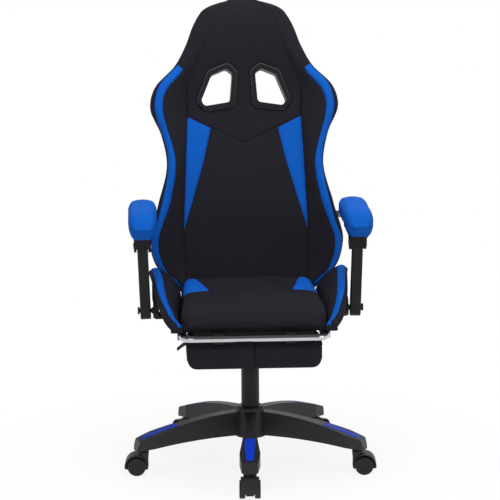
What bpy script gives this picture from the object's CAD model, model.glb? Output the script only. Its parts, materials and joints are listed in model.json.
import json
import math

import bmesh
import bpy
import numpy as np
from mathutils import Matrix


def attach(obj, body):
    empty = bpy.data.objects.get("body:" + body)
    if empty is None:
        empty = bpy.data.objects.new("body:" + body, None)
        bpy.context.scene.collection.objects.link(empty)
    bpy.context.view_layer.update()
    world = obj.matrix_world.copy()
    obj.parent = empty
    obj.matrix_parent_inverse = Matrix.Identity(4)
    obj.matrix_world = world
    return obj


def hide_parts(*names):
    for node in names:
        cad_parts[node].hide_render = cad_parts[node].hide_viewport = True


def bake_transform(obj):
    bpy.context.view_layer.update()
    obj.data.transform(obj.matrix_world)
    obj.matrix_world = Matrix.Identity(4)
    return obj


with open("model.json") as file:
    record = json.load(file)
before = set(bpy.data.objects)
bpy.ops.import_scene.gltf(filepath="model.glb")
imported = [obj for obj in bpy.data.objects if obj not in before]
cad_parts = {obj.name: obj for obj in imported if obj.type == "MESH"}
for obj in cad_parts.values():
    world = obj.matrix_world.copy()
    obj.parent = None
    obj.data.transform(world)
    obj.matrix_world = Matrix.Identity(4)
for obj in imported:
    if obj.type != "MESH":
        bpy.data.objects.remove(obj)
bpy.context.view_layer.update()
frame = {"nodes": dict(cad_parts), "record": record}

MM = 0.001
# Distance in millimetres that stands for "nowhere near" a seam or a coloured part
FAR = 60

# Backrest: its own axes are x across, w up the lean and t forwards from the middle of its thickness
BACK_Y = 165
BACK_Z = 450
BACK_LEAN = math.radians(11)
# w, half width, crest x, crest t, foot x, centre t, rear t
BACK_ROWS = [
    (8, 186, 166, 34, 132, 10, -46),
    (60, 241, 221, 50, 163, 12, -56),
    (145, 273, 250, 58, 170, 13, -58),
    (250, 249, 228, 58, 168, 17, -58),
    (378, 221, 203, 53, 160, 15, -58),
    (455, 236, 215, 50, 158, 10, -58),
    (535, 266, 240, 50, 160, 9, -56),
    (590, 249, 223, 46, 158, 15, -54),
    (645, 196, 175, 36, 134, 23, -52),
    (700, 165, 142, 33, 112, 33, -50),
    (765, 139, 115, 31, 92, 38, -48),
    (788, 126, 103, 29, 82, 37, -46),
    (808, 109, 88, 26, 68, 34, -42),
    (822, 80, 62, 20, 44, 28, -38),
    (832, 42, 30, 13, 20, 18, -32),
]
BEZEL_OUTER = [(135, 547), (101, 633), (44, 655), (18, 630), (26, 529), (111, 517)]
BEZEL_INNER = [(121, 548), (91, 621), (50, 638), (32, 625), (39, 544), (111, 533)]
RIM_GAP = 8
# How far the front and the rear sheet are moved under the bezels
RIM_PRESS = (-2.2, 5)
HINGE_Y = 200
HINGE_Z = 490
# Round the hinge axis the cover is pressed in to a half width, fully within the first distance
HINGE_HALF = 205
HINGE_ROOM = (47, 66)
# Depth of the round from the crest to the side, and the cover's length round it to the radian
EDGE_DEPTH = 20
EDGE_ARC = 20.5
REAR_CORNER = 26
REAR_BOW = 4
REAR_SEAM_W = 500
BOLSTER_BULGE = 5
# w, inner and outer half width of the coloured edge strip
STRIP_ROWS = [
    (20, 182, 200), (40, 197, 214), (59, 220, 236), (86, 236, 254), (109, 244, 266), (154, 248, 270),
    (199, 234, 254), (245, 217, 242), (290, 205, 231), (335, 197, 223), (381, 195, 220), (426, 205, 226),
    (471, 219, 242), (517, 229, 254), (539, 229, 255), (562, 225, 251), (585, 213, 244), (607, 193, 230),
    (630, 174, 207), (650, 168, 189), (668, 160, 178),
]
TRIANGLE = [(160, 503), (95, 470), (118, 372), (175, 180)]
LONG_SEAM = [(160, 588), (160, 503), (175, 180), (168, 20)]
VEE_SEAM = [(160, 503), (0, 428)]

# Seat cushion: y, foot half width, edge half width, bottom, edge height, crown height
SEAT_ROWS = [
    (-265, 176, 175, 449, 463, 470),
    (-261, 184, 182, 440, 477, 484),
    (-253, 190, 188, 437, 488, 495),
    (-240, 194, 192, 437, 498, 505),
    (-220, 196, 193, 437, 506, 513),
    (-190, 195, 191, 437, 510, 518),
    (-120, 193, 188, 437, 510, 519),
    (20, 190, 185, 437, 507, 513),
    (125, 187, 181, 437, 504, 508),
]
SEAT_PATCH = [(113, -80), (202, -76), (206, 140), (146, 140)]
SEAT_SHOULDER = 24
SEAT_LOW_BEND = 9
STAPLED_BELOW = 446

# Seat wings: y, inner foot x, outer foot x, crest x, crest z
WING_ROWS = [
    (-254, 195, 211, 217, 463),
    (-236, 200, 217, 230, 473),
    (-190, 200, 221, 244, 493),
    (-120, 197, 224, 257, 520),
    (-50, 194, 226, 264, 542),
    (20, 191.5, 228, 269, 550),
    (70, 189.5, 228, 272, 547),
    (88, 189, 224, 265, 531),
]
WING_BOTTOM = 437
# Distance of the brow from the crest, and how much it grows towards the rear
BROW_IN = 22
BROW_GROWS = 12
# Column of the upper sheet that runs along the crest
CREST_COLUMN = 18
STRIPE_HALF = 13.5

# Armrest pads: y, half width, bottom, side height, crown height
PAD_X = 292
PAD_ROWS = [
    (-164, 19, 690, 704, 707),
    (-157, 28, 677, 719, 722),
    (-146, 34, 669, 727, 730),
    (-125, 37.5, 666, 733, 736),
    (-100, 38.8, 668, 735, 738),
    (-20, 38.8, 673, 736, 739),
    (80, 38, 673, 735, 738),
    (103, 35, 675, 731, 734),
    (110, 29, 681, 723, 726),
]
# Seam of the pads: share of the height on the nose, its rise to the sides, and the scale to millimetres
PAD_SEAM = 0.3
PAD_SEAM_RISE = 0.3
PAD_SEAM_HALF = 38
PAD_SEAM_SCALE = 85

# Footrest pad
FOOT_HALF = 180
FOOT_FRONT = -278
FOOT_REAR = -115
FOOT_LOW = 338
FOOT_HIGH = 410
FOOT_BEND = 26
FOOT_TOP_BEND = 7
FOOT_EDGE = 13

# Cloth settings and the number of frames it runs
CLOTH = {
    "quality": 4, "mass": 0.3, "use_pressure": True, "uniform_pressure_force": 4, "tension_stiffness": 12,
    "compression_stiffness": 12, "shear_stiffness": 5, "bending_stiffness": 0.6,
}
CLOTH_FRAMES = 20
SEAM_WIDTH = 4

# Weave in radians to the millimetre, and a stitch's length in metres
WEAVE = 3.6
STITCH = 0.0052

# Tilt spring in metres: its axis, and the heights between which it widens
SPRING_Y = -0.09
SPRING_WIDENS = (0.326, 0.348)
SPRING_WIDER = 0.33


def along(table, at):
    """Columns of a table as smooth curves of its first column: cubic pieces through the rows,
    whose slopes are the central differences of their neighbours."""
    table = np.asarray(table, float)
    knots, values = table[:, 0], table[:, 1:]
    at = np.clip(at, knots[0], knots[-1])
    slopes = np.gradient(values, knots, axis=0)
    left = np.clip(np.searchsorted(knots, at, side="right") - 1, 0, len(knots) - 2)
    span = (knots[left + 1] - knots[left])[:, None]
    f = (at - knots[left])[:, None] / span
    start = (1 + 2 * f) * (1 - f) ** 2 * values[left] + f * (1 - f) ** 2 * span * slopes[left]
    finish = f * f * (3 - 2 * f) * values[left + 1] + f * f * (f - 1) * span * slopes[left + 1]
    return (start + finish).T


def smooth(value, low, high):
    """0 below low, 1 above high and a smooth S between."""
    f = np.clip((value - low) / (high - low), 0, 1)
    return f * f * (3 - 2 * f)


def steps(first, last, size):
    """Evenly spaced values about one size apart, with both ends."""
    return np.linspace(first, last, int(round(abs(last - first) / size)) + 1)


def rounded_ends(first, last, size, low_reach, high_reach, count=5):
    """Row positions with extra rows beyond both ends, and the share of the section's height at each:
    position = end + reach * sin(angle), share = cos(angle)."""
    angle = np.linspace(0, math.pi / 2, count + 1)[1:]
    at = np.concatenate([
        first - low_reach * np.sin(angle[::-1]), steps(first, last, size), last + high_reach * np.sin(angle)
    ])
    body = np.ones(len(at) - 2 * count)
    share = np.concatenate([np.cos(angle[::-1]), body, np.cos(angle)])
    share[[0, -1]] = 0
    return at, share


def both_halves(half, sign=1):
    """A half section mirrored about its first column; sign -1 for the x values."""
    return np.concatenate([sign * half[:, :0:-1], half], axis=1)


def line_gap(x, y, points):
    """Distance of each point to a run of straight lines."""
    gaps = []
    for (x0, y0), (x1, y1) in zip(points, points[1:]):
        share = ((x - x0) * (x1 - x0) + (y - y0) * (y1 - y0)) / ((x1 - x0) ** 2 + (y1 - y0) ** 2)
        share = np.clip(share, 0, 1)
        gaps.append(np.hypot(x - x0 - share * (x1 - x0), y - y0 - share * (y1 - y0)))
    return np.min(gaps, axis=0)


def inside_by(x, y, points):
    """Signed distance to a closed outline: positive inside it."""
    inside = np.zeros(np.shape(x), bool)
    closed = points + points[:1]
    for (x0, y0), (x1, y1) in zip(closed, closed[1:]):
        crosses = (y0 > y) != (y1 > y)
        if y1 != y0:
            inside ^= crosses & (x < (x1 - x0) * (y - y0) / (y1 - y0) + x0)
    return np.where(inside, 1, -1) * line_gap(x, y, closed)


def sew(front, rear, cut=None):
    """One closed cover from two sheets of grid points that share their border. Cells marked in cut
    are left out of both sheets, and walls join the rims. Gives points, faces and the points used."""
    rows, cols = front.shape[:2]
    number = np.arange(rows * cols).reshape(rows, cols)
    behind = number + rows * cols
    behind[[0, -1], :] = number[[0, -1], :]
    behind[:, [0, -1]] = number[:, [0, -1]]
    keep = np.ones((rows - 1, cols - 1), bool) if cut is None else ~cut

    def quads(grid):
        return np.stack([grid[:-1, :-1], grid[:-1, 1:], grid[1:, 1:], grid[1:, :-1]], -1)[keep]

    faces = [quads(number), quads(behind)[:, ::-1]]
    for axis in (0, 1):
        i, j = np.nonzero(np.diff(keep.astype(int), axis=axis))
        a = (i + 1 - axis, j + axis)
        b = (a[0] + axis, a[1] + 1 - axis)
        faces.append(np.stack([number[a], number[b], behind[b], behind[a]], -1))
    used, faces = np.unique(np.concatenate(faces), return_inverse=True)
    points = np.concatenate([front.reshape(-1, 3), rear.reshape(-1, 3)])[used]
    return points, faces.reshape(-1, 4), used


def cover(name, points, faces, place):
    """New padded piece from points in metres, with each point's place on the pattern as an attribute."""
    mesh = bpy.data.meshes.new(name)
    mesh.from_pydata(points.tolist(), [], faces.tolist())
    spots = mesh.attributes.new("place", "FLOAT_VECTOR", "POINT")
    spots.data.foreach_set("vector", np.ascontiguousarray(place, np.float32).ravel())
    shell = bmesh.new()
    shell.from_mesh(mesh)
    bmesh.ops.recalc_face_normals(shell, faces=shell.faces)
    shell.to_mesh(mesh)
    shell.free()
    piece = bpy.data.objects.new(name, mesh)
    bpy.context.scene.collection.objects.link(piece)
    return piece


def get(layer, key):
    """A mesh layer of vectors as an array."""
    values = np.empty(len(layer) * 3, np.float32)
    layer.foreach_get(key, values)
    return values.reshape(-1, 3).astype(float)


# Backrest cover

SIN = math.sin(BACK_LEAN)
COS = math.cos(BACK_LEAN)


def back_to_world(x, w, t):
    """Backrest axes to the chair's, in metres."""
    return np.stack([x, BACK_Y + w * SIN - t * COS, BACK_Z + w * COS + t * SIN], -1) * MM


def around_crest(x, w):
    """Distance across the cover from the bolster's crest, outwards, for a half width x at height w."""
    half, crest_x, crest_t, foot_x, centre_t, _ = along(BACK_ROWS, w)
    slope = np.hypot(crest_x - foot_x, crest_t - centre_t) / (crest_x - foot_x)
    turn = np.arcsin(np.clip((x - crest_x) / (half - crest_x), 0, 0.96))
    return np.where(x < crest_x, (x - crest_x) * slope, EDGE_ARC * turn)


def back_sheets():
    """Front and rear sheets of the backrest. The front runs flat to the foot of the bolster, up a
    bulged slope to the crest and round a quarter ellipse to the side; the rear has quarter round edges."""
    w, share = rounded_ends(8, 832, 7, 12, 4)
    columns = along(BACK_ROWS, w)
    half, crest_x, crest_t, foot_x, centre_t, rear_t = (column[:, None] for column in columns)
    w = w[:, None]
    share = share[:, None]
    corner = np.minimum(REAR_CORNER, half * 0.4)
    edge_t = crest_t - EDGE_DEPTH
    mid_t = (edge_t + rear_t + corner) / 2
    flat = np.linspace(0, 1, 23)[None, :]
    rise = np.linspace(0, 1, 13)[None, 1:]
    turn = np.linspace(0, math.pi / 2, 7)[None, 1:]
    side = np.linspace(0, 1, 5)[None, 1:]
    bulge = BOLSTER_BULGE * np.sin(math.pi * rise)
    front_x = np.concatenate([
        foot_x * flat, foot_x + (crest_x - foot_x) * rise,
        crest_x + (half - crest_x) * np.sin(turn), half + 0 * side,
    ], axis=1)
    front_t = np.concatenate([
        centre_t + 0 * flat, centre_t + (crest_t - centre_t) * rise + bulge,
        edge_t + EDGE_DEPTH * np.cos(turn), edge_t + (mid_t - edge_t) * side,
    ], axis=1)
    rear_x = np.concatenate([
        foot_x * flat, foot_x + (half - corner - foot_x) * rise,
        half - corner + corner * np.sin(turn), half + 0 * side,
    ], axis=1)
    low_t = rear_t + corner
    rear_sheet_t = np.concatenate([
        rear_t - REAR_BOW * (1 - flat ** 2), rear_t + 0 * rise,
        low_t - corner * np.cos(turn), low_t + (mid_t - low_t) * side,
    ], axis=1)
    sheets = []
    for x, t in ((front_x, front_t), (rear_x, rear_sheet_t)):
        t = mid_t + (t - mid_t) * share
        x = both_halves(x, -1)
        sheets.append((x, w + 0 * x, both_halves(t)))
    return sheets


def back_shape(x, w, t):
    """Room in the cover for the recline hinges: the sides are pressed in round the hinge axis."""
    y = BACK_Y + w * SIN - t * COS
    z = BACK_Z + w * COS + t * SIN
    press = 1 - smooth(np.hypot(y - HINGE_Y, z - HINGE_Z), *HINGE_ROOM)
    reach = np.abs(x)
    return np.sign(x) * (reach - np.maximum(reach - HINGE_HALF, 0) * press)


def rim_pull(x, w, cut):
    """Points round the cut cells moved onto one smooth line outside the opening: each goes along the
    slope of its distance to the opening by what that distance is short of the rim's."""
    around = np.pad(cut, 1).astype(int)
    touching = around[:-1, :-1] + around[1:, :-1] + around[:-1, 1:] + around[1:, 1:]
    reach = np.abs(x)
    short = -RIM_GAP - inside_by(reach, w, BEZEL_INNER)
    slope_x = (inside_by(reach + 1, w, BEZEL_INNER) - inside_by(reach - 1, w, BEZEL_INNER)) / 2
    slope_w = (inside_by(reach, w + 1, BEZEL_INNER) - inside_by(reach, w - 1, BEZEL_INNER)) / 2
    short = np.where((touching > 0) & (touching < 4), np.clip(short, -6, 6), 0)
    return x + np.sign(x) * short * slope_x, w + short * slope_w


def make_back():
    """Backrest cover with two openings cut through it inside the bezels."""
    front, rear = back_sheets()
    x, w, _ = front
    opening = inside_by(np.abs(x), w, BEZEL_INNER)
    cell = (opening[:-1, :-1] + opening[1:, :-1] + opening[:-1, 1:] + opening[1:, 1:]) / 4
    cut = cell > -RIM_GAP
    grids = []
    places = []
    for number, (x, w, t) in enumerate((front, rear)):
        x, w = rim_pull(x, w, cut)
        under_rim = 1 - smooth(-inside_by(np.abs(x), w, BEZEL_OUTER), 2, 12)
        t = t + under_rim * RIM_PRESS[number]
        x = back_shape(x, w, t)
        grids.append(back_to_world(x, w, t))
        places.append(np.stack([x, w, t], -1))
    points, faces, used = sew(grids[0], grids[1], cut)
    place = np.concatenate([grid.reshape(-1, 3) for grid in places])[used]
    return cover("back_upholstery", points, faces, place)


def back_lines(place):
    """Distance to the coloured parts, to the nearest seam and the run along it, for places (x, w, t)."""
    x, w, t = np.abs(place[:, 0]), place[:, 1], place[:, 2]
    half, crest_x, crest_t, _, centre_t, rear_t = along(BACK_ROWS, w)
    ahead = t > np.where(x < crest_x - 12, centre_t - 16, crest_t - 26)
    inner, outer = along(STRIP_ROWS, w)
    across = around_crest(x, w)
    down_side = EDGE_ARC * 1.4 + (crest_t - 17 - t)
    across = np.where((x > half - 2) & (t < crest_t - 14), down_side, across)
    first = around_crest(inner, w)
    last = np.minimum(around_crest(outer, w), 27)
    end_cut = np.minimum(635 + (x - 168) * 0.75 - w, w - 16)
    strip = np.minimum(np.minimum(across - first, last - across), end_cut)
    strip = np.where(ahead, strip, -FAR)
    wedge = np.where(ahead, inside_by(x, w, TRIANGLE), -FAR)
    trim = np.maximum(strip, wedge)
    seams = [
        line_gap(x, w, LONG_SEAM), line_gap(x, w, VEE_SEAM), line_gap(x, w, TRIANGLE[1:]),
        np.where(end_cut > -4, np.abs(strip), FAR),
    ]
    seam = np.where(ahead, np.min(seams, axis=0), FAR)
    rear_edge = np.where(t < rear_t + 16, np.abs(x - (half - 16)), FAR)
    rear_band = np.where(t < -20, np.abs(w - REAR_SEAM_W), FAR)
    seam = np.min([seam, rear_edge, rear_band], axis=0)
    run = np.where((line_gap(x, w, VEE_SEAM) < 8) | (rear_band < 8), x, w)
    return trim, seam, run


def back_held(place):
    """Points of the backrest cover that are sewn or glued down."""
    x, w, t = np.abs(place[:, 0]), place[:, 1], place[:, 2]
    _, seam, _ = back_lines(place)
    rim = inside_by(x, w, BEZEL_OUTER) > -14
    y = BACK_Y + w * SIN - t * COS
    z = BACK_Z + w * COS + t * SIN
    hinge = np.hypot(y - HINGE_Y, z - HINGE_Z) < 72
    return (seam < 4.5) | rim | (t < -38) | (hinge & (x > 190)) | (w < 14)


# Seat cushion cover

def seat_sheets():
    """Top and under sheets of the seat cushion: a parabolic crown, a quarter round shoulder and a side
    down to half height, then the side, a small round edge and a flat underside."""
    y, share = rounded_ends(-265, 125, 6.5, 4, 4)
    foot, edge, bottom, edge_z, crown_z = (column[:, None] for column in along(SEAT_ROWS, y))
    y = y[:, None]
    share = share[:, None]
    tall = edge_z - bottom
    bend = np.minimum(SEAT_SHOULDER, tall * 0.45)
    low_bend = np.minimum(SEAT_LOW_BEND, tall * 0.2)
    mid_z = bottom + tall * 0.45
    flat = np.linspace(0, 1, 25)[None, :]
    turn = np.linspace(0, math.pi / 2, 8)[None, 1:]
    side = np.linspace(0, 1, 4)[None, 1:]
    top_x = np.concatenate([
        (edge - bend) * flat, edge - bend + bend * np.sin(turn), edge + (foot - edge) * 0.5 * side,
    ], axis=1)
    top_z = np.concatenate([
        crown_z - (crown_z - edge_z) * flat ** 2, edge_z - bend + bend * np.cos(turn),
        edge_z - bend + (mid_z - edge_z + bend) * side,
    ], axis=1)
    under_x = np.concatenate([
        (foot - low_bend) * flat, foot - low_bend + low_bend * np.sin(turn),
        foot + (edge - foot) * 0.5 * side,
    ], axis=1)
    under_z = np.concatenate([
        bottom + 0 * flat, bottom + low_bend - low_bend * np.cos(turn),
        bottom + low_bend + (mid_z - bottom - low_bend) * side,
    ], axis=1)
    sheets = []
    for x, z in ((top_x, top_z), (under_x, under_z)):
        z = mid_z + (z - mid_z) * share
        x = both_halves(x, -1)
        sheets.append(np.stack([x, y + 0 * x, both_halves(z)], -1))
    return sheets


def make_seat():
    """Seat cushion cover."""
    top, under = seat_sheets()
    points, faces, used = sew(top * MM, under * MM)
    place = np.concatenate([top.reshape(-1, 3), under.reshape(-1, 3)])[used]
    return cover("seat_upholstery", points, faces, place)


def seat_lines(place):
    """Coloured rear corners, side and patch seams of the seat, for places (x, y, z)."""
    x, y, z = np.abs(place[:, 0]), place[:, 1], place[:, 2]
    _, edge, _, edge_z, _ = along(SEAT_ROWS, y)
    above = z > edge_z - 15
    patch = np.where(above, inside_by(x, y, SEAT_PATCH), -FAR)
    side_seam = np.abs((edge_z - 26) - z) + 3 * np.maximum(0, edge - 14 - x)
    seam = np.minimum(side_seam, np.abs(patch))
    return patch, seam, np.where(np.abs(patch) < 6, x, y)


def seat_held(place):
    """Points of the seat cover that are sewn or stapled down."""
    _, seam, _ = seat_lines(place)
    return (seam < 4) | (place[:, 2] < STAPLED_BELOW)


# Seat wing covers

def wing_sheets():
    """Upper and under sheets of a seat wing: up the full inner side, a parabola from the foot to the brow,
    round the crest and down the outer side, over a flat underside."""
    y, share = rounded_ends(-254, 88, 6, 7, 12, 7)
    foot_in, foot_out, crest_x, crest_z = (column[:, None] for column in along(WING_ROWS, y))
    y = y[:, None]
    share = share[:, None]
    inner = np.linspace(0, 1, 15)[None, :]
    turn = np.linspace(0, 1, 10)[None, 1:]
    outer = np.linspace(0, 1, 13)[None, 1:]
    brow_x = crest_x - BROW_IN - BROW_GROWS * smooth(y, -150, 20)
    brow_z = crest_z - 8
    lip_x, lip_z = crest_x + 5, crest_z - 12
    full_x = foot_in - 10
    full_z = WING_BOTTOM + (crest_z - WING_BOTTOM) * 0.66
    bow = np.sin(math.pi * outer) * 3
    arch = 1 - (2 * turn - 1) ** 2
    upper_x = np.concatenate([
        foot_in * (1 - inner) ** 2 + 2 * full_x * inner * (1 - inner) + brow_x * inner ** 2,
        brow_x + (lip_x - brow_x) * turn + arch * 2,
        lip_x + (foot_out - lip_x) * outer + bow,
    ], axis=1)
    upper_z = np.concatenate([
        WING_BOTTOM * (1 - inner) ** 2 + 2 * full_z * inner * (1 - inner) + brow_z * inner ** 2,
        brow_z + (lip_z - brow_z) * turn + arch * 9.5,
        lip_z + (WING_BOTTOM - lip_z) * outer,
    ], axis=1)
    upper_z = WING_BOTTOM + (upper_z - WING_BOTTOM) * share
    across = np.linspace(0, 1, upper_x.shape[1])[None, :]
    under_x = upper_x[:, :1] + (upper_x[:, -1:] - upper_x[:, :1]) * across
    under_z = WING_BOTTOM + 0 * under_x
    lengths = np.hypot(np.diff(upper_x), np.diff(upper_z))
    run = np.concatenate([0 * y, np.cumsum(lengths, axis=1)], axis=1)
    crest = run[:, [CREST_COLUMN]]
    upper = np.stack([upper_x, y + 0 * upper_x, upper_z], -1)
    under = np.stack([under_x, y + 0 * under_x, under_z], -1)
    return upper, under, run - crest


def make_wings():
    """Both seat wing covers as one piece."""
    upper, under, across = wing_sheets()
    points, faces, used = sew(upper * MM, under * MM)
    beyond = np.where(across < 0, across - FAR, across + FAR)
    place = np.stack([
        np.concatenate([across.ravel(), beyond.ravel()]),
        np.concatenate([upper[..., 1].ravel(), under[..., 1].ravel()]),
        np.concatenate([upper[..., 2].ravel(), under[..., 2].ravel()]),
    ], -1)[used]
    mirrored = points * (-1, 1, 1)
    return cover(
        "wing_upholstery", np.concatenate([points, mirrored]),
        np.concatenate([faces, faces[:, ::-1] + len(points)]), np.concatenate([place, place]),
    )


def wing_lines(place):
    """Coloured stripe along the crest of the wings, for places (distance from the crest, y, z)."""
    across, y, z = place.T
    drift = 17 * np.clip(-y / 250, 0, 1)
    stripe = STRIPE_HALF - 2 * smooth(-y, 60, 200) - np.abs(across - 1 + drift)
    stripe = np.minimum(stripe, z - np.where(y > 40, 505, 452))
    return stripe, np.abs(stripe), y


def wing_held(place):
    """Points of the wing covers that are sewn or stapled down."""
    _, seam, _ = wing_lines(place)
    return (seam < 3.2) | (place[:, 2] < STAPLED_BELOW)


# Armrest pad covers

def make_pad(side, sign):
    """Armrest pad cover: a crowned top with round shoulders, over a keel with a narrow flat and quarter
    ellipses out to the sides."""
    y, share = rounded_ends(-164, 110, 5, 4, 4)
    half, bottom, side_z, crown_z = (column[:, None] for column in along(PAD_ROWS, y))
    y = y[:, None]
    share = share[:, None]
    tall = side_z - bottom
    bend = np.minimum(16, half * 0.55)
    mid_z = bottom + tall * 0.6
    keel = half * 0.5
    flat = np.linspace(0, 1, 7)[None, :]
    turn = np.linspace(0, math.pi / 2, 11)[None, 1:]
    top_x = np.concatenate([(half - bend) * flat, half - bend + bend * np.sin(turn)], axis=1)
    top_z = np.concatenate([
        crown_z - (crown_z - side_z) * flat ** 2, mid_z + (side_z - mid_z) * np.cos(turn),
    ], axis=1)
    under_x = np.concatenate([keel * flat, keel + (half - keel) * np.sin(turn)], axis=1)
    under_z = np.concatenate([bottom + 0 * flat, mid_z - (mid_z - bottom) * np.cos(turn)], axis=1)
    grids = []
    places = []
    for x, z in ((top_x, top_z), (under_x, under_z)):
        z = both_halves(mid_z + (z - mid_z) * share)
        x = both_halves(x, -1)
        grids.append(np.stack([sign * PAD_X + x, y + 0 * x, z], -1) * MM)
        places.append(np.stack([x, y + 0 * x, (z - bottom) / tall], -1))
    points, faces, used = sew(*grids)
    place = np.concatenate([grid.reshape(-1, 3) for grid in places])[used]
    return cover(f"arm_upholstery_{side}", points, faces, place)


def pad_lines(place):
    """Armrest pad: coloured all over, with a seam low on the nose and higher along the sides, for places
    (x, y, height)."""
    rise = PAD_SEAM_RISE * (place[:, 0] / PAD_SEAM_HALF) ** 2
    seam = np.abs(place[:, 2] - PAD_SEAM - rise) * PAD_SEAM_SCALE
    return 40 + 0 * seam, seam, place[:, 1] + 0.8 * np.abs(place[:, 0])


def pad_held(place):
    """Points of an armrest pad cover that are sewn or glued down."""
    _, seam, _ = pad_lines(place)
    return (seam < 3) | (place[:, 2] < 0.08)


# Footrest pad cover

def foot_outline(a, b, inset):
    """Point of the pad's front outline for a and b from -1 to 1, drawn in by the inset: x is linear in a,
    z runs from the round lower corners to the top."""
    half = FOOT_HALF - inset
    bend = np.maximum(FOOT_BEND - inset, 8)
    x = half * a
    into = np.maximum(np.abs(x) - (half - bend), 0)
    low = FOOT_LOW + inset + bend - np.sqrt(np.maximum(bend ** 2 - into ** 2, 0))
    into = np.maximum(np.abs(x) - (half - FOOT_TOP_BEND), 0)
    high = FOOT_HIGH - inset - FOOT_TOP_BEND + np.sqrt(np.maximum(FOOT_TOP_BEND ** 2 - into ** 2, 0))
    return x, low + (high - low) * (b + 1) / 2


def foot_sheet(face_y, mid_y):
    """One face of the footrest pad with a quarter round edge and the side back to half depth."""
    columns, rows = 71, 29
    face_a, face_b = 53 / 70, 18 / 28
    rim_a, rim_b = 17 / 70, 10 / 28
    a = np.linspace(-1, 1, columns)[None, :] + np.zeros((rows, 1))
    b = np.linspace(-1, 1, rows)[:, None] + np.zeros((1, columns))
    ring = np.maximum((np.abs(a) - face_a) / rim_a, (np.abs(b) - face_b) / rim_b)
    a = np.sign(a) * np.minimum(np.abs(a) / face_a, 1)
    b = np.sign(b) * np.minimum(np.abs(b) / face_b, 1)
    turn = np.clip(ring / 0.45, 0, 1) * math.pi / 2
    inset = FOOT_EDGE * (1 - np.sin(turn))
    straight = (abs(mid_y - face_y) - FOOT_EDGE) * np.clip((ring - 0.45) / 0.55, 0, 1)
    depth = FOOT_EDGE * (1 - np.cos(turn)) + straight
    x, z = foot_outline(a, b, np.where(ring > 0, inset, FOOT_EDGE))
    return np.stack([x, face_y + np.sign(mid_y - face_y) * depth, z], -1)


def make_footrest():
    """Footrest pad cover."""
    middle = (FOOT_FRONT + FOOT_REAR) / 2
    front = foot_sheet(FOOT_FRONT, middle)
    rear = foot_sheet(FOOT_REAR, middle)
    points, faces, used = sew(front * MM, rear * MM)
    place = np.concatenate([front.reshape(-1, 3), rear.reshape(-1, 3)])[used]
    return cover("footrest_upholstery", points, faces, place)


def foot_lines(place):
    """Footrest pad: all black, a seam up the middle and one along the top of the front, for (x, y, z)."""
    x, y, z = place.T
    middle = np.abs(x)
    upper = np.where(z > 380, np.abs(z - 402), FAR)
    seam = np.minimum(middle, upper)
    return -FAR + 0 * x, seam, np.where(middle < 6, z + y, x)


def foot_held(place):
    """Points of the footrest cover that are sewn or stapled down."""
    _, seam, _ = foot_lines(place)
    return (seam < 3.4) | (place[:, 2] > 405)


# Blowing the covers up and sewing them

def simulate(covers):
    """Blender's Cloth blows the closed covers up against their seams, and each point moves by the
    simulated way, softly capped: way * cap / (cap + length)."""
    scene = bpy.context.scene
    for piece, held, _ in covers:
        place = get(piece.data.attributes["place"].data, "vector")
        group = piece.vertex_groups.new(name="sewn")
        group.add(np.nonzero(held(place))[0].tolist(), 1.0, "REPLACE")
        cloth = piece.modifiers.new("blow", "CLOTH")
        for key, value in CLOTH.items():
            setattr(cloth.settings, key, value)
        cloth.settings.vertex_group_mass = "sewn"
        cloth.settings.effector_weights.gravity = 0
        cloth.collision_settings.use_collision = False
        cloth.collision_settings.use_self_collision = False
        cloth.point_cache.frame_start = 1
        cloth.point_cache.frame_end = CLOTH_FRAMES
    for number in range(1, CLOTH_FRAMES + 1):
        scene.frame_set(number)
    graph = bpy.context.evaluated_depsgraph_get()
    blown = []
    for piece, _, cap in covers:
        rest = get(piece.data.vertices, "co")
        way = get(piece.evaluated_get(graph).data.vertices, "co") - rest
        length = np.linalg.norm(way, axis=1, keepdims=True)
        blown.append(rest + way * cap * MM / (cap * MM + length))
    for (piece, _, _), points in zip(covers, blown):
        piece.modifiers.clear()
        piece.vertex_groups.clear()
        piece.data.vertices.foreach_set("co", points.astype(np.float32).ravel())
        piece.data.update()
    scene.frame_set(1)


def dress(piece, lines, groove):
    """One subdivision, then the seams pressed in along the normals by groove * exp(-(gap / 4)^2), and the
    coloured parts, seams and runs kept as attributes in metres."""
    piece.modifiers.new("round", "SUBSURF").levels = 1
    graph = bpy.context.evaluated_depsgraph_get()
    fine = bpy.data.meshes.new_from_object(
        piece.evaluated_get(graph), preserve_all_data_layers=True, depsgraph=graph
    )
    piece.modifiers.clear()
    fine.name = piece.name
    piece.data = fine
    trim, seam, run = lines(get(fine.attributes["place"].data, "vector"))
    for name, values in (("trim", trim), ("seam", seam), ("run", run)):
        layer = fine.attributes.new(name, "FLOAT", "POINT")
        layer.data.foreach_set("value", (values * MM).astype(np.float32))
    points = get(fine.vertices, "co")
    normals = get(fine.vertex_normals, "vector")
    points -= normals * (groove * MM * np.exp(-(seam / SEAM_WIDTH) ** 2))[:, None]
    fine.vertices.foreach_set("co", points.astype(np.float32).ravel())
    fine.polygons.foreach_set("use_smooth", np.ones(len(fine.polygons), bool))
    fine.update()


# Shader maths

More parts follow.
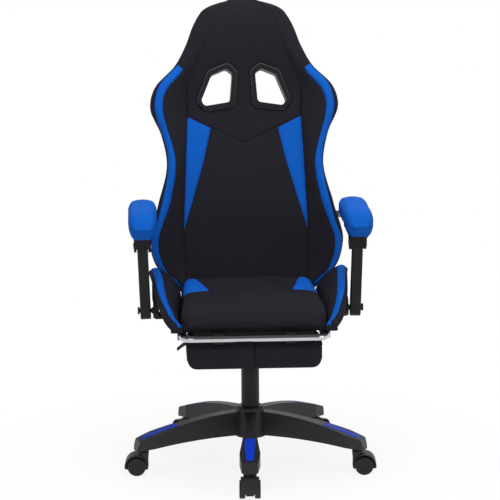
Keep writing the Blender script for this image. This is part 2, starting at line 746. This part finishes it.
class Wire:
    """A socket of a material's node tree that takes + - * with numbers and other sockets."""

    def __init__(self, tree, socket=None):
        self.tree = tree
        self.socket = socket

    def node(self, kind, inputs=(), out=0, **settings):
        """Adds any node, its settings first and then its sockets' values or links, and gives one output."""
        made = self.tree.nodes.new(kind)
        for key, value in settings.items():
            setattr(made, key, value)
        for key, value in dict(inputs).items():
            if isinstance(value, Wire):
                self.tree.links.new(value.socket, made.inputs[key])
            else:
                made.inputs[key].default_value = value
        return Wire(self.tree, made.outputs[out])

    def math(self, operation, *values):
        return self.node("ShaderNodeMath", dict(enumerate(values)), operation=operation)

    def __add__(self, other):
        return self.math("ADD", self, other)

    def __sub__(self, other):
        return self.math("SUBTRACT", self, other)

    def __rsub__(self, other):
        return self.math("SUBTRACT", other, self)

    def __mul__(self, other):
        return self.math("MULTIPLY", self, other)

    __radd__ = __add__

    def sin(self):
        return self.math("SINE", self)

    def ramp(self, low, high, start=0.0, finish=1.0):
        """Smooth step from start to finish as the value goes from low to high."""
        values = {"Value": self, 1: low, 2: high, 3: start, 4: finish}
        return self.node("ShaderNodeMapRange", values, interpolation_type="SMOOTHSTEP")

    def attribute(self, name, out="Fac"):
        return self.node("ShaderNodeAttribute", out=out, attribute_name=name)

    def spot(self):
        """The point on the piece, in metres."""
        return self.node("ShaderNodeTexCoord", out="Object")

    def noise(self, scale, detail=2.0, where=None):
        values = {"Vector": where or self.spot(), "Scale": scale, "Detail": detail}
        return self.node("ShaderNodeTexNoise", values)

    def mix(self, factor, first, second):
        """Two colours mixed by a factor."""
        return self.node("ShaderNodeMix", {0: factor, 6: first, 7: second}, out=2, data_type="RGBA")

    def bump(self, height, distance, strength=1.0):
        return self.node("ShaderNodeBump", {"Height": height, "Distance": distance, "Strength": strength})

    def part(self, axis):
        """One number of a vector."""
        return self.node("ShaderNodeSeparateXYZ", {0: self}, out=axis)


def linear(red, green, blue):
    """Colour from screen values of 0 to 255."""
    share = np.array([red, green, blue]) / 255
    light = np.where(share <= 0.04045, share / 12.92, ((share + 0.055) / 1.055) ** 2.4)
    return (*light.tolist(), 1.0)


def surface(name, links, **constants):
    """New material: constant shader values, then linked ones from a function of its wire."""
    material = bpy.data.materials.new(name)
    material.use_nodes = True
    tree = material.node_tree
    shader = tree.nodes["Principled BSDF"]
    for key, value in constants.items():
        shader.inputs[key.replace("_", " ")].default_value = value
    for key, wire in links(Wire(tree)).items():
        tree.links.new(wire.socket, shader.inputs[key])
    return material


def woven(wire):
    """Woven cover: black or coloured by the trim, darker in the seams, stitched, with a fine weave."""
    trim = wire.attribute("trim")
    seam = wire.attribute("seam")
    run = wire.attribute("run")
    place = wire.attribute("place", "Vector")
    colour = trim.ramp(-0.0007, 0.0007)
    blotch = wire.noise(9.0, 3.0)
    fibre = wire.noise(900.0, 2.0)
    shade = 0.84 + blotch * 0.22 + fibre * 0.12
    weave = (place.part(0) * WEAVE).sin() * (place.part(1) * WEAVE).sin()
    weave_far = (place.part(2) * WEAVE).sin() * (place.part(1) * WEAVE).sin()
    cloth = weave * 0.6 + weave_far * 0.4
    crease = 1 - seam.ramp(0.0, 0.0022)
    dash = (run * (2 * math.pi / STITCH)).sin().ramp(-0.35, 0.1)
    beside = wire.math("ABSOLUTE", seam - 0.0036)
    thread = dash * (1 - beside.ramp(0.0004, 0.0009))
    black = wire.mix(fibre, linear(29, 28, 34), linear(38, 37, 44))
    blue = wire.mix(fibre, linear(10, 80, 173), linear(19, 95, 189))
    base = wire.mix(colour, black, blue)
    stitched = wire.mix(thread * 0.3, base, linear(18, 22, 34))
    depth = shade * (1 - crease * 0.55)
    tinted = wire.node("ShaderNodeVectorMath", {0: stitched, 3: depth}, operation="SCALE")
    height = cloth * 0.5 + fibre * 0.7 - crease * 5.0 + thread * 1.4
    return {
        "Base Color": tinted,
        "Roughness": 0.74 + blotch * 0.16,
        "Normal": wire.bump(height, 0.0003),
    }


def moulded(dark, pale, grain, rough):
    """Moulded plastic: two tones and a fine sparkle grain."""
    def links(wire):
        blotch = wire.noise(14.0, 4.0)
        speck = wire.noise(grain, 2.0)
        return {
            "Base Color": wire.mix(blotch, dark, pale),
            "Roughness": rough + blotch * 0.12 + speck * 0.08,
            "Normal": wire.bump(speck, 0.00025, 0.6),
        }
    return links


def rimmed(wire):
    """Black plastic of the opening bezels, with a pale line on the round of their outer edge."""
    speck = wire.noise(1100.0, 2.0)
    facing = wire.node("ShaderNodeTexCoord", out="Normal").part(1)
    edge = facing.ramp(-0.9, -0.74) * (1 - facing.ramp(-0.5, -0.3))
    return {
        "Base Color": wire.mix(edge * 0.75, linear(22, 22, 25), linear(112, 112, 116)),
        "Roughness": 0.4 + speck * 0.1,
        "Normal": wire.bump(speck, 0.0002, 0.5),
    }


def painted(wire):
    """Powder-coated steel."""
    speck = wire.noise(520.0, 2.0)
    blotch = wire.noise(16.0, 3.0)
    base = wire.mix(blotch, linear(22, 22, 23), linear(32, 32, 34))
    return {
        "Base Color": base, "Roughness": 0.36 + speck * 0.18,
        "Normal": wire.bump(speck, 0.0002, 0.5),
    }


def plated(dull, bright, rough, scratch):
    """Bare or plated metal with fine rubbed lines and faint tarnish."""
    def links(wire):
        spot = wire.node("ShaderNodeMapping", {"Vector": wire.spot(), "Scale": (30.0, 900.0, 900.0)})
        lines = wire.noise(1.0, 3.0, spot)
        blotch = wire.noise(22.0, 4.0)
        return {
            "Base Color": wire.mix(blotch, dull, bright),
            "Roughness": rough + lines * scratch + blotch * scratch * 0.6,
            "Normal": wire.bump(lines, 0.00008, 0.4),
        }
    return links


def felted(wire):
    """Thin non-woven dust cloth with pressed dots."""
    spot = wire.spot()
    dots = (spot.part(0) * 1600).sin() * (spot.part(1) * 1600).sin()
    fibre = wire.noise(600.0, 3.0)
    return {
        "Base Color": wire.mix(fibre, linear(20, 20, 22), linear(38, 38, 41)),
        "Roughness": 0.86 + fibre * 0.1,
        "Normal": wire.bump(dots + fibre, 0.0003),
    }


def make_finishes():
    """All finishes by the record's slot names, with those of the covers and the bezels."""
    plastics = (
        ("black_plastic", linear(20, 20, 23), linear(29, 29, 33), 1100.0, 0.42, 0.2),
        ("black_nylon", linear(33, 33, 36), linear(43, 43, 47), 800.0, 0.36, 0.3),
        ("blue_plastic", linear(8, 54, 188), linear(14, 66, 206), 900.0, 0.40, 0.15),
        ("wheel_plastic", linear(30, 30, 33), linear(40, 40, 43), 900.0, 0.40, 0.25),
    )
    metals = (
        ("plain_steel", linear(150, 150, 152), linear(182, 182, 184), 0.24, 0.16),
        ("bright_bar", linear(188, 188, 192), linear(206, 206, 210), 0.06, 0.06),
    )
    made = {
        "cover": surface("woven_cover", woven, Specular_IOR_Level=0.1),
        "black_steel": surface("black_steel", painted, Specular_IOR_Level=0.22),
        "dust_cloth": surface("dust_cloth", felted),
        "rim_plastic": surface("rim_plastic", rimmed, Specular_IOR_Level=0.2),
    }
    for name, dark, pale, grain, rough, shine in plastics:
        made[name] = surface(name, moulded(dark, pale, grain, rough), Specular_IOR_Level=shine)
    for name, dull, bright, rough, scratch in metals:
        made[name] = surface(name, plated(dull, bright, rough, scratch), Metallic=1.0)
    return made


finishes = make_finishes()

# Soft pieces: cover, lines, held points, cap in millimetres, groove, body, slot, node stood for, fill
soft = [
    (make_back(), back_lines, back_held, 7, 1.7, "backrest", "black_fabric", "back_cushion", 0.7),
    (make_seat(), seat_lines, seat_held, 6, 1.5, "seat", "black_fabric", "seat_cushion", 0.75),
    (make_wings(), wing_lines, wing_held, 4, 1.2, "seat", "black_fabric", "seat_wings", 0.8),
]
for side, sign in (("left", -1), ("right", 1)):
    soft.append((
        make_pad(side, sign), pad_lines, pad_held, 3.5, 0.9,
        f"armrest_{side}", "blue_fabric", f"arm_pad_{side}", 0.8,
    ))
soft.append((
    make_footrest(), foot_lines, foot_held, 5, 1.4, "footrest", "black_fabric", "footrest_pad", 0.75,
))

simulate([row[0:1] + row[2:4] for row in soft])
for piece, lines, _, _, groove, body, slot, node, fill in soft:
    dress(piece, lines, groove)
    piece.data.materials.append(finishes["cover"])
    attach(piece, body)
    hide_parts(node)


def make_spring():
    """Tilt spring that keeps its ends on the housing and on the tension knob as the seat tilts, wider
    towards the housing, where the knob's bolt leans most."""
    node = frame["nodes"]["tilt_spring"]
    mesh = node.data.copy()
    mesh.transform(node.matrix_world)
    coil = bmesh.new()
    coil.from_mesh(mesh)
    bmesh.ops.remove_doubles(coil, verts=coil.verts, dist=1e-6)
    for point in coil.verts:
        wider = 1 + SPRING_WIDER * smooth(point.co.z, *SPRING_WIDENS)
        point.co.x = wider * point.co.x
        point.co.y = wider * (point.co.y - SPRING_Y) + SPRING_Y
    coil.to_mesh(mesh)
    coil.free()
    mesh.materials.clear()
    mesh.materials.append(finishes["black_steel"])
    spring = bpy.data.objects.new("tilt_spring_coil", mesh)
    bpy.context.scene.collection.objects.link(spring)
    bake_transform(spring)
    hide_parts("tilt_spring")


make_spring()

slot_of = {row["node"]: row["material_slot"] for row in frame["record"]["subparts"]}
for name, node in frame["nodes"].items():
    finish = "rim_plastic" if name == "front_bezels" else slot_of[name]
    material = finishes.get(finish, finishes["cover"])
    if not node.data.materials:
        node.data.materials.append(material)
    for place in node.material_slots:
        place.material = material


# Floor, light and camera

def sight(wire):
    """1 for rays that the camera, a mirror or glass sees."""
    kinds = ("Camera", "Glossy", "Transmission")
    rays = [wire.node("ShaderNodeLightPath", out=f"Is {kind} Ray") for kind in kinds]
    return rays[0].math("MAXIMUM", rays[0].math("MAXIMUM", rays[0], rays[1]), rays[2])


def stage_floor():
    """Pale floor and a white world, both white to the camera, the floor keeping soft shadows."""
    mesh = bpy.data.meshes.new("floor")
    mesh.from_pydata([(-30, -30, 0), (30, -30, 0), (30, 60, 0), (-30, 60, 0)], [], [(0, 1, 2, 3)])
    floor = bpy.data.objects.new("floor", mesh)
    bpy.context.scene.collection.objects.link(floor)
    material = bpy.data.materials.new("pale_floor")
    material.use_nodes = True
    tree = material.node_tree
    wire = Wire(tree)
    shader = tree.nodes["Principled BSDF"]
    shader.inputs["Base Color"].default_value = (0.86, 0.86, 0.86, 1)
    shader.inputs["Roughness"].default_value = 0.9
    shader.inputs["Specular IOR Level"].default_value = 0.1
    spot = wire.spot()
    away = wire.node("ShaderNodeVectorMath", {0: spot}, out="Value", operation="LENGTH")
    glow = wire.node("ShaderNodeEmission", {"Color": (1, 1, 1, 1), "Strength": 1.0})
    body = Wire(tree, shader.outputs[0])
    share = sight(wire) * away.ramp(0.22, 0.95, 0.87, 1.0)
    both = wire.node("ShaderNodeMixShader", {0: share, 1: body, 2: glow})
    tree.links.new(both.socket, tree.nodes["Material Output"].inputs["Surface"])
    mesh.materials.append(material)


def stage_world(level):
    """World that is white to the camera and mirrors up to just over the horizon and dim above,
    and an even fill of the level for the rest."""
    world = bpy.data.worlds.new("studio")
    bpy.context.scene.world = world
    world.use_nodes = True
    tree = world.node_tree
    wire = Wire(tree)
    background = tree.nodes["Background"]
    background.inputs["Color"].default_value = (1, 1, 1, 1)
    rise = wire.node("ShaderNodeTexCoord", out="Generated").part(2)
    seen = sight(wire)
    strength = seen * (rise.ramp(0.05, 0.4, 1.0, 0.12) - level) + level
    tree.links.new(strength.socket, background.inputs["Strength"])


def lamp(name, place, target, size, power):
    """Soft square lamp at a place, facing a target. One overhead isn't mirrored in bright metal."""
    data = bpy.data.lights.new(name, "AREA")
    data.shape = "RECTANGLE"
    data.size, data.size_y = size
    data.energy = power
    light = bpy.data.objects.new(name, data)
    light.visible_glossy = place[2] < OVERHEAD
    bpy.context.scene.collection.objects.link(light)
    aim(light, place, target)


def aim(thing, place, target):
    """Puts a lamp or camera at a place with its -Z axis towards the target and its Y axis up."""
    place, target = np.array(place, float), np.array(target, float)
    back_way = (place - target) / np.linalg.norm(place - target)
    right = np.cross((0, 0, 1), back_way)
    right = right / np.linalg.norm(right)
    up = np.cross(back_way, right)
    turn = np.eye(4)
    turn[:3] = np.stack([right, up, back_way, place], axis=1)
    thing.matrix_world = Matrix(turn.tolist())


WORLD_LEVEL = 0.31
# Height in metres from which a lamp counts as overhead
OVERHEAD = 3
LAMP_TARGET = (0, 0, 0.7)
# Name, place, size and power in watts
LAMPS = (
    ("top_softbox", (0, -0.7, 3.2), (2.4, 2.4), 80),
    ("front_softbox", (-1.7, -3.6, 2.2), (2.2, 2.2), 18),
    ("right_softbox", (2.6, -2.2, 1.8), (1.8, 2.4), 20),
    ("rear_softbox", (0.6, 3.4, 2.4), (2.4, 2.4), 26),
)
stage_floor()
stage_world(WORLD_LEVEL)
for name, place, size, power in LAMPS:
    lamp(name, place, LAMP_TARGET, size, power)

CAMERA_TURN = math.radians(-2.7)
CAMERA_ROLL = math.radians(0.4)
CAMERA_PITCH = math.radians(11.05)
CAMERA_REACH = 6.0
CAMERA_HEIGHT = 1.78
CAMERA_ASIDE = 0.002
CAMERA_LENS = 160
CAMERA_SENSOR = 36
camera = bpy.data.objects.new("camera", bpy.data.cameras.new("camera"))
camera.data.lens = CAMERA_LENS
camera.data.sensor_width = CAMERA_SENSOR
bpy.context.scene.collection.objects.link(camera)
camera_place = (
    CAMERA_ASIDE + math.sin(CAMERA_TURN) * CAMERA_REACH, -math.cos(CAMERA_TURN) * CAMERA_REACH, CAMERA_HEIGHT,
)
aim(camera, camera_place, (CAMERA_ASIDE, 0, CAMERA_HEIGHT - CAMERA_REACH * math.tan(CAMERA_PITCH)))
camera.matrix_world = camera.matrix_world @ Matrix.Rotation(-CAMERA_ROLL, 4, "Z")
bpy.context.scene.camera = camera
bpy.context.scene.view_settings.view_transform = "Standard"
